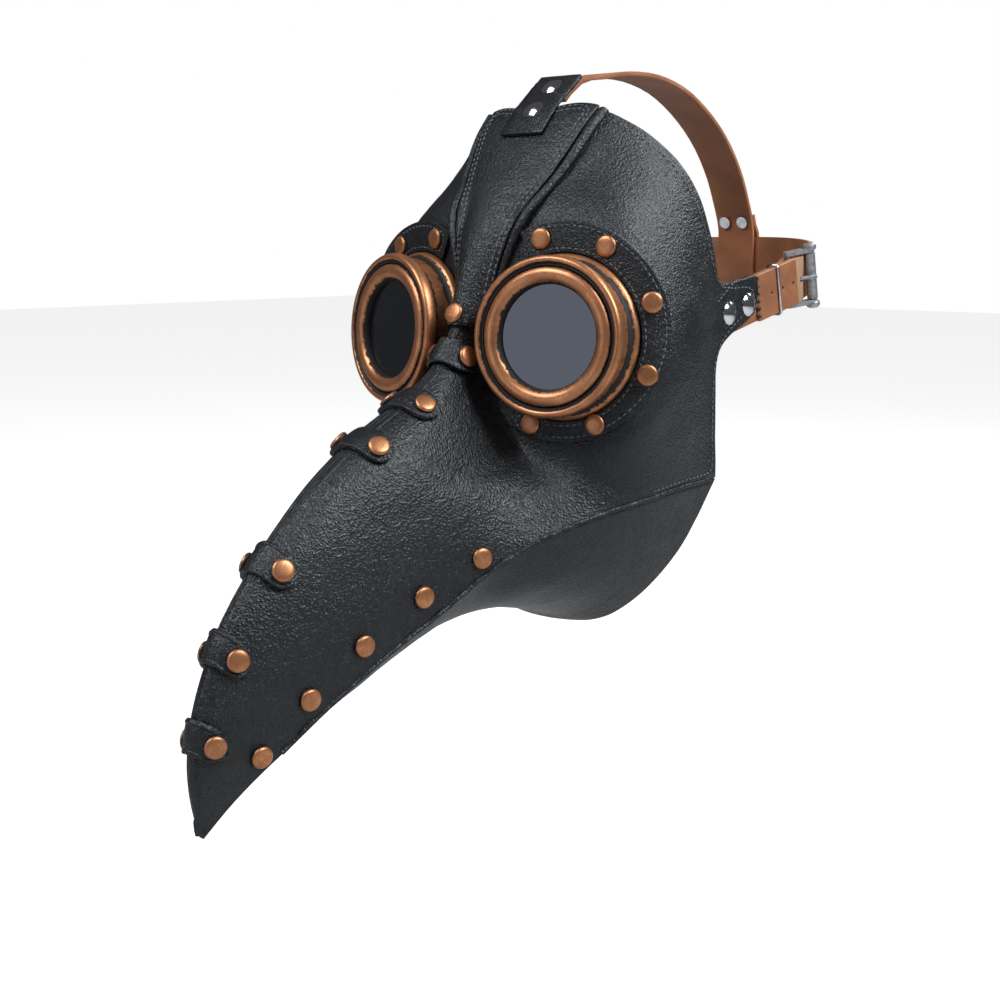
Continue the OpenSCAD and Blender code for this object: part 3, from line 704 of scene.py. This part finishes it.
def make_seams():
    for side, k in SIDES.items():
        tree = surface(SHELL[side])
        ridge = curve_through([(k * 3.2 * MM, y * MM, z * MM) for y, z in RIDGE], 2 * MM)
        bead(f"ridge_seam_{side}", laid(ridge, tree, 0.35 * MM), 0.75 * MM, "shell_leather")
        crease = curve_through([(k * x * MM, y * MM, z * MM) for x, y, z in CREASE], 2 * MM)
        bead(f"crease_lip_{side}", laid(crease, tree, 0.5 * MM), 1.25 * MM, "shell_leather")
    for n in range(1, 6):
        node = f"beak_strap_{n}"
        tree = surface(SHELL[node])
        for m, (line, inward) in enumerate(edge_lines(node, outwards)):
            row = inset_line(line, inward, 1.3 * MM, tree, 1.2 * MM)
            bead(f"{node}_edging_{m}", [p - q * 0.45 * MM for p, q in row], 1.0 * MM, "shell_leather")


# ---- Harness ----

def temple_frame(side):
    """The side strap's frame: Y back along the strap, Z across it, X outwards."""
    k = SIDES[side]
    along = Vector((0, cos(STRAP_RISE), sin(STRAP_RISE)))
    across = Vector((0, -sin(STRAP_RISE), cos(STRAP_RISE)))
    turn = Matrix((Vector((k, 0, 0)), along, across)).transposed().to_4x4()
    return Matrix.Translation(TEMPLE_START) @ turn


def eased(node, size, notches=(), thin=2.7 * MM):
    """A copy of a strap with rounded edges; its thin cut faces are marked as raw edge."""
    bm = merged_copy(node)
    if notches:
        whole = mesh_from(bm, node)
        bm = bmesh.new()
        bm.from_mesh(notched(whole, notches, NOTCH))
        bmesh.ops.remove_doubles(bm, verts=bm.verts, dist=0.02 * MM)
    bmesh.ops.dissolve_limit(bm, angle_limit=radians(2), verts=bm.verts, edges=bm.edges, delimit={"NORMAL"})
    raw = bm.faces.layers.float.new("edge")
    for f in bm.faces:
        longest = max(e.calc_length() for e in f.edges)
        f[raw] = float(f.calc_area() / longest < thin)
    sharp = [e for e in bm.edges if e.is_manifold and e.calc_face_angle() > radians(50)]
    bmesh.ops.bevel(bm, geom=sharp, offset=size, offset_type="OFFSET", affect="EDGES", segments=2, profile=0.5,
                    material=-1, clamp_overlap=True)
    return mesh_from(bm, node, 45)


def notched(mesh, places, size):
    """Cuts square notches, standing on their corners, out of a strap's end."""
    bm = bmesh.new()
    for place in places:
        bmesh.ops.create_cube(bm, size=size, matrix=place @ Matrix.Rotation(radians(45), 4, "X"))
    bmesh.ops.recalc_face_normals(bm, faces=bm.faces)
    cutter = bpy.data.objects.new("notches", mesh_from(bm, "notches"))
    bpy.context.scene.collection.objects.link(cutter)
    made = with_modifiers(mesh, ("BOOLEAN", {"object": cutter, "operation": "DIFFERENCE", "solver": "MANIFOLD"}))
    bpy.data.objects.remove(cutter)
    if not made.vertices:
        raise RuntimeError("the strap's end could not be notched")
    return made


def make_harness():
    s = bpy.context.scene.mask_harness
    places = [temple_frame(side) @ Matrix.Translation((TAIL_X, TAIL_END_Y, z * MM))
              for side in SIDES for z in NOTCH_PLACES]
    piece("back_strap_leather", eased("back_strap", STRAP_EASE, places), "strap_leather", ["back_strap"])
    piece("crown_strap_leather", eased("crown_strap", STRAP_EASE), "strap_leather", ["crown_strap"])
    for side in SIDES:
        node = f"side_strap_{side}"
        piece(f"{node}_leather", eased(node, STRAP_EASE), "strap_leather", [node])
        make_keeper(side)
        make_knobs(side)


def make_keeper(side):
    """A rounded loop of wire round the side strap and the tail."""
    node = f"strap_keeper_{side}"
    low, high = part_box(node)
    middle = temple_frame(side).inverted() @ ((Vector(low) + Vector(high)) / 2)
    loop = []
    for sx, sz, start in ((1, 1, 0), (-1, 1, 90), (-1, -1, 180), (1, -1, 270)):
        for k in range(5):
            a = radians(start + k * 22.5)
            corner = Vector((sx * (KEEPER_HALF_X - KEEPER_BEND), 0, sz * (KEEPER_HALF_Z - KEEPER_BEND)))
            loop.append(temple_frame(side) @ (middle + corner + Vector((cos(a), 0, sin(a))) * KEEPER_BEND))
    wire = bpy.context.scene.mask_harness.wire
    bead(f"{node}_wire", loop, wire, "chrome", [node], f"{side}_keeper", cyclic=True)


KNOB = ((0, 2.2, 0), (2.6, 2.2, 0), (3.4, 1.7, 0), (3.8, 0.6, 0), (3.8, -0.4, 0), (3.4, -1.2, 0), (0, -1.4, 0))


def make_knobs(side):
    """A round knob on each end of the buckle's roller bar."""
    knobs = []
    for end in (1, -1):
        place = temple_frame(side) @ Matrix.Translation((ROLLER_X, ROLLER_Y, end * KNOB_Z))
        turn = Matrix.Rotation(0 if end > 0 else pi, 4, "X")
        knobs.append(spun("knob", KNOB, place @ turn, STUD_SIDES, closed=False))
    piece(f"roller_knobs_{side}", joined(knobs, "knobs"), "buckle_steel")


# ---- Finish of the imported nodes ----

def finish_nodes():
    """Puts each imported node's own material in its slots; the meshes are left alone."""
    slots = {part["node"]: part["material_slot"] for part in frame["record"]["subparts"]}
    for node, obj in NODES.items():
        if not obj.material_slots:
            raise RuntimeError(f"{node} has no material slot")
        for place in obj.material_slots:
            place.material = material(slots[node])


# ---- Stage ----

def area_light(name, place, aim, size, power, tint=(1, 1, 1)):
    data = bpy.data.lights.new(name, "AREA")
    data.shape = "RECTANGLE"
    data.size, data.size_y = size
    data.energy = power
    data.color = tint
    obj = bpy.data.objects.new(name, data)
    bpy.context.scene.collection.objects.link(obj)
    obj.location = place
    obj.rotation_euler = (Vector(aim) - Vector(place)).to_track_quat("-Z", "Y").to_euler()
    return obj


def make_stage():
    s = bpy.context.scene.mask_stage
    scene = bpy.context.scene
    bm = bmesh.new()
    bmesh.ops.create_grid(bm, x_segments=1, y_segments=1, size=6)
    bmesh.ops.translate(bm, vec=(0, 0, s.floor), verts=bm.verts)
    floor = bpy.data.objects.new("floor", mesh_from(bm, "floor"))
    scene.collection.objects.link(floor)
    r = Recipe("pale_floor")
    seen = r.add("ShaderNodeLightPath", {}, {}, "Is Camera Ray")
    floor.data.materials.append(r.finish(Base_Color=r.mix(r.noise(3, 2), (0.42, 0.42, 0.42), (0.45, 0.45, 0.45)),
                                         Roughness=0.9, Emission_Strength=0.85,
                                         Emission_Color=r.mix(seen, (0, 0, 0), (1, 1, 1))))
    world = bpy.data.worlds.new("studio")
    world.use_nodes = True
    shade = world.node_tree.nodes["Background"]
    shade.inputs[0].default_value = (1, 1, 1, 1)
    shade.inputs[1].default_value = 0.07
    open_sky = world.node_tree.nodes.new("ShaderNodeBackground")
    open_sky.inputs[0].default_value = (1, 1, 1, 1)
    seen = world.node_tree.nodes.new("ShaderNodeLightPath")
    choice = world.node_tree.nodes.new("ShaderNodeMixShader")
    links = world.node_tree.links
    links.new(seen.outputs["Is Camera Ray"], choice.inputs[0])
    links.new(shade.outputs[0], choice.inputs[1])
    links.new(open_sky.outputs[0], choice.inputs[2])
    links.new(choice.outputs[0], world.node_tree.nodes["World Output"].inputs[0])
    scene.world = world
    area_light("key", (-0.35, -1.1, 1.2), (0, -0.1, 0), (0.8, 0.8), 20, (0.94, 0.97, 1))
    area_light("side", (1.2, 0.15, 1.15), (0.03, -0.15, -0.05), (0.9, 0.9), 34, (0.9, 0.96, 1))
    area_light("rim", (0.1, 1.2, 1.0), (0, 0, 0), (0.8, 0.8), 12)
    area_light("card", (-0.25, -1.45, -0.08), (0.05, -0.1, 0), (0.75, 0.75), 2.2, (0.72, 0.8, 1))
    scene.view_settings.view_transform = "Standard"
    data = bpy.data.cameras.new("camera")
    data.lens, data.sensor_width = s.focal, 36
    data.clip_start = 0.01
    camera = bpy.data.objects.new("camera", data)
    scene.collection.objects.link(camera)
    camera.location = (0.4961, -0.6368, 0.0468)
    look = Vector((-0.6461, 0.7432, -0.1736))
    camera.rotation_euler = look.to_track_quat("-Z", "Y").to_euler()
    scene.camera = camera


# ---- Operators ----

class MASK_OT_nodes(bpy.types.Operator):
    """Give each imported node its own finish"""
    bl_idname = "mask.metal_finish"
    bl_label = "Metal Finish"

    def execute(self, context):
        finish_nodes()
        return {"FINISHED"}


class MASK_OT_shell(bpy.types.Operator):
    """Mould the side and underside leather"""
    bl_idname = "mask.leather_shell"
    bl_label = "Leather Shell"

    def execute(self, context):
        make_shell()
        return {"FINISHED"}


class MASK_OT_overlays(bpy.types.Operator):
    """Mould the leather laid on the shell"""
    bl_idname = "mask.leather_overlays"
    bl_label = "Leather Overlays"

    def execute(self, context):
        make_overlays()
        return {"FINISHED"}


class MASK_OT_goggles(bpy.types.Operator):
    """Cast the goggle cups, bezels and lenses"""
    bl_idname = "mask.goggles"
    bl_label = "Goggles"

    def execute(self, context):
        make_goggles()
        return {"FINISHED"}


class MASK_OT_studs(bpy.types.Operator):
    """Set the copper studs"""
    bl_idname = "mask.studs"
    bl_label = "Studs"

    def execute(self, context):
        make_studs()
        return {"FINISHED"}


class MASK_OT_seams(bpy.types.Operator):
    """Raise the ridge seam, the crease lips and the strap edging"""
    bl_idname = "mask.seams"
    bl_label = "Seams"

    def execute(self, context):
        make_seams()
        return {"FINISHED"}


class MASK_OT_stitching(bpy.types.Operator):
    """Sew the stitch rows"""
    bl_idname = "mask.stitching"
    bl_label = "Stitching"

    def execute(self, context):
        make_stitching()
        return {"FINISHED"}


class MASK_OT_harness(bpy.types.Operator):
    """Cut the straps, bend the keepers and turn the knobs"""
    bl_idname = "mask.harness"
    bl_label = "Harness"

    def execute(self, context):
        make_harness()
        return {"FINISHED"}


class MASK_OT_stage(bpy.types.Operator):
    """Set the floor, the lights and the camera"""
    bl_idname = "mask.stage"
    bl_label = "Stage"

    def execute(self, context):
        make_stage()
        return {"FINISHED"}


STEPS = (MASK_OT_nodes, MASK_OT_shell, MASK_OT_overlays, MASK_OT_goggles, MASK_OT_studs,
         MASK_OT_seams, MASK_OT_stitching, MASK_OT_harness, MASK_OT_stage)
GROUPS = {"mask_leather": LeatherSettings, "mask_metal": MetalSettings, "mask_harness": HarnessSettings,
          "mask_stage": StageSettings}


class MASK_PT_steps(bpy.types.Panel):
    """The mask's sizes, colours and making steps."""
    bl_idname = "MASK_PT_steps"
    bl_label = "Mask"
    bl_space_type = "VIEW_3D"
    bl_region_type = "UI"
    bl_category = "Mask"

    def draw(self, context):
        for name, group in GROUPS.items():
            for key in group.__annotations__:
                self.layout.prop(getattr(context.scene, name), key)
        for step in STEPS:
            self.layout.operator(step.bl_idname)


def register():
    for name, group in GROUPS.items():
        bpy.utils.register_class(group)
        setattr(bpy.types.Scene, name, PointerProperty(type=group))
    for step in STEPS:
        bpy.utils.register_class(step)
    bpy.utils.register_class(MASK_PT_steps)


def unregister():
    bpy.utils.unregister_class(MASK_PT_steps)
    for step in reversed(STEPS):
        bpy.utils.unregister_class(step)
    for name, group in GROUPS.items():
        delattr(bpy.types.Scene, name)
        bpy.utils.unregister_class(group)


def main():
    register()
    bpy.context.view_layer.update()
    for step in STEPS:
        getattr(bpy.ops.mask, step.bl_idname.split(".")[1])()


if __name__ == "__main__":
    main()
